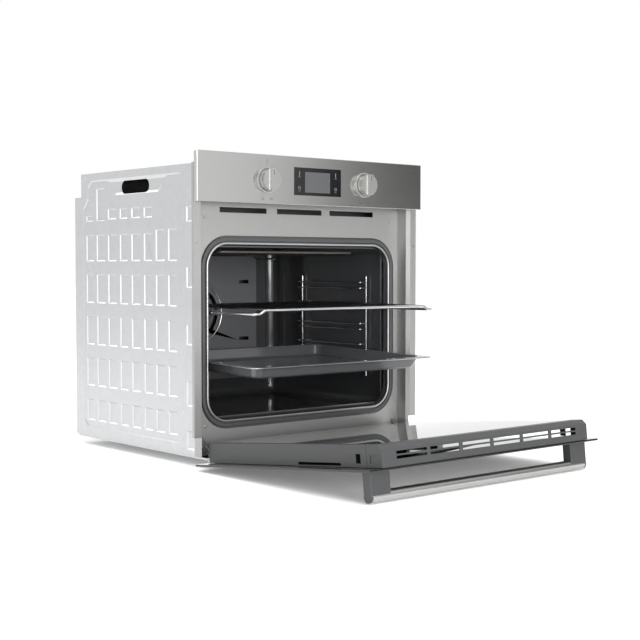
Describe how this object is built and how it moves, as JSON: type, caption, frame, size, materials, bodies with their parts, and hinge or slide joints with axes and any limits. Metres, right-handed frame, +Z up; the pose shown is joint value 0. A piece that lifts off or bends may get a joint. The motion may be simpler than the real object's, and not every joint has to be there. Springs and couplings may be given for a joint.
{
  "type": "built-in wall oven",
  "caption": "Built-in electric wall oven with a drop-down door standing open, a wire shelf and a baking tray drawn part way out, pop-out knobs and a display",
  "frame": {"origin": "underside of the base pan, on the centre line, in the plane of the cabinet's front edges", "axes": "+X to the right seen from the front, +Y into the cabinet, +Z up"},
  "size_m": [0.595, 1.0457, 0.6091],
  "materials": {
    "frame_steel": "coated sheet steel, dull grey",
    "zinc_sheet": "hot-dip galvanised sheet steel",
    "enamel": "dark glossy vitreous enamel on sheet steel",
    "seal": "silicone and glass-fibre door seal",
    "chromed_wire": "chromed steel wire",
    "element_sheath": "heat-darkened stainless tube",
    "clear_glass": "clear heat-resistant glass",
    "mineral_fibre": "matted mineral fibre",
    "black_plastic": "matt black moulded plastic",
    "brushed_fascia": "brushed stainless steel",
    "black_glass": "black tempered glass",
    "screen": "unlit dark display",
    "circuit_board": "green circuit board",
    "satin_metal": "satin silver",
    "plain_steel": "plain bright steel"
  },
  "bodies": {
    "oven": {"front_frame": "frame_steel", "side_panel_left": "zinc_sheet", "side_panel_right": "zinc_sheet", "top_cover": "zinc_sheet", "rear_wall": "zinc_sheet", "back_cover": "zinc_sheet", "terminal_block": "black_plastic", "base_pan": "zinc_sheet", "cavity_liner": "enamel", "mouth_gasket": "seal", "shelf_rack_left": "chromed_wire", "shelf_rack_right": "chromed_wire", "fan_baffle": "enamel", "fan_motor": "zinc_sheet", "ring_element": "element_sheath", "grill_element": "element_sheath", "bottom_element": "element_sheath", "lamp_housing": "zinc_sheet", "lamp_lens": "clear_glass", "temperature_probe": "chromed_wire", "insulation_blanket": "mineral_fibre", "blower_housing": "zinc_sheet", "blower_motor": "zinc_sheet", "air_duct": "zinc_sheet", "limit_thermostat": "black_plastic", "control_fascia": "brushed_fascia", "control_carrier": "black_plastic", "display_glass": "black_glass", "display_screen": "screen", "control_board": "circuit_board", "function_switch": "black_plastic", "thermostat_switch": "black_plastic", "knob_collar_left": "satin_metal", "knob_collar_right": "satin_metal", "hinge_receiver_left": "zinc_sheet", "hinge_receiver_right": "zinc_sheet", "hinge_arm_left": "plain_steel", "hinge_arm_right": "plain_steel"},
    "door": {"door_outer_panel": "black_glass", "door_top_cap": "black_plastic", "door_bottom_rail": "black_plastic", "door_inner_glass": "clear_glass", "door_middle_glass": "clear_glass", "door_side_rail_left": "black_plastic", "door_side_rail_right": "black_plastic", "door_hinge_case_left": "zinc_sheet", "door_hinge_case_right": "zinc_sheet", "handle_bar": "brushed_fascia", "handle_post_left": "black_plastic", "handle_post_right": "black_plastic"},
    "shelf": {"wire_shelf": "chromed_wire"},
    "tray": {"baking_tray": "enamel"},
    "fan": {"convection_fan": "zinc_sheet"},
    "blower": {"blower_wheel": "zinc_sheet"},
    "spindle_left": {"knob_spindle_left": "plain_steel"},
    "spindle_right": {"knob_spindle_right": "plain_steel"},
    "knob_left": {"knob_left": "satin_metal"},
    "knob_right": {"knob_right": "satin_metal"}
  },
  "joints": [
    {"name": "door_hinge", "type": "hinge", "parent": "oven", "child": "door", "pos_m": [0, -0.0115, 0.0018], "axis": [-1, 0, 0], "range_deg": [0, 84.3]},
    {"name": "shelf_slide", "type": "slide", "parent": "oven", "child": "shelf", "axis": [0, 1, 0], "range_m": [0, 0.1485]},
    {"name": "tray_slide", "type": "slide", "parent": "oven", "child": "tray", "axis": [0, 0.9995, 0.0305], "range_m": [0, 0.1485]},
    {"name": "fan_spin", "type": "hinge", "parent": "oven", "child": "fan", "pos_m": [0, 0.42, 0.267], "axis": [0, 1, 0], "continuous": true},
    {"name": "blower_spin", "type": "hinge", "parent": "oven", "child": "blower", "pos_m": [0, 0.25, 0.505], "axis": [1, 0, 0], "continuous": true},
    {"name": "function_turn", "type": "hinge", "parent": "oven", "child": "spindle_left", "pos_m": [-0.1295, 0, 0.545], "axis": [0, 1, 0], "continuous": true},
    {"name": "thermostat_turn", "type": "hinge", "parent": "oven", "child": "spindle_right", "pos_m": [0.1295, 0, 0.545], "axis": [0, 1, 0], "range_deg": [0, 270]},
    {"name": "knob_left_push", "type": "slide", "parent": "spindle_left", "child": "knob_left", "axis": [0, 1, 0], "range_m": [0, 0.011], "stiffness_N_per_m": 300},
    {"name": "knob_right_push", "type": "slide", "parent": "spindle_right", "child": "knob_right", "axis": [0, 1, 0], "range_m": [0, 0.011], "stiffness_N_per_m": 300}
  ],
  "couplings": [
    {"joint": "shelf_slide", "follows": "door_hinge", "m_per_rad": 0.1006},
    {"joint": "tray_slide", "follows": "door_hinge", "m_per_rad": 0.1006}
  ]
}
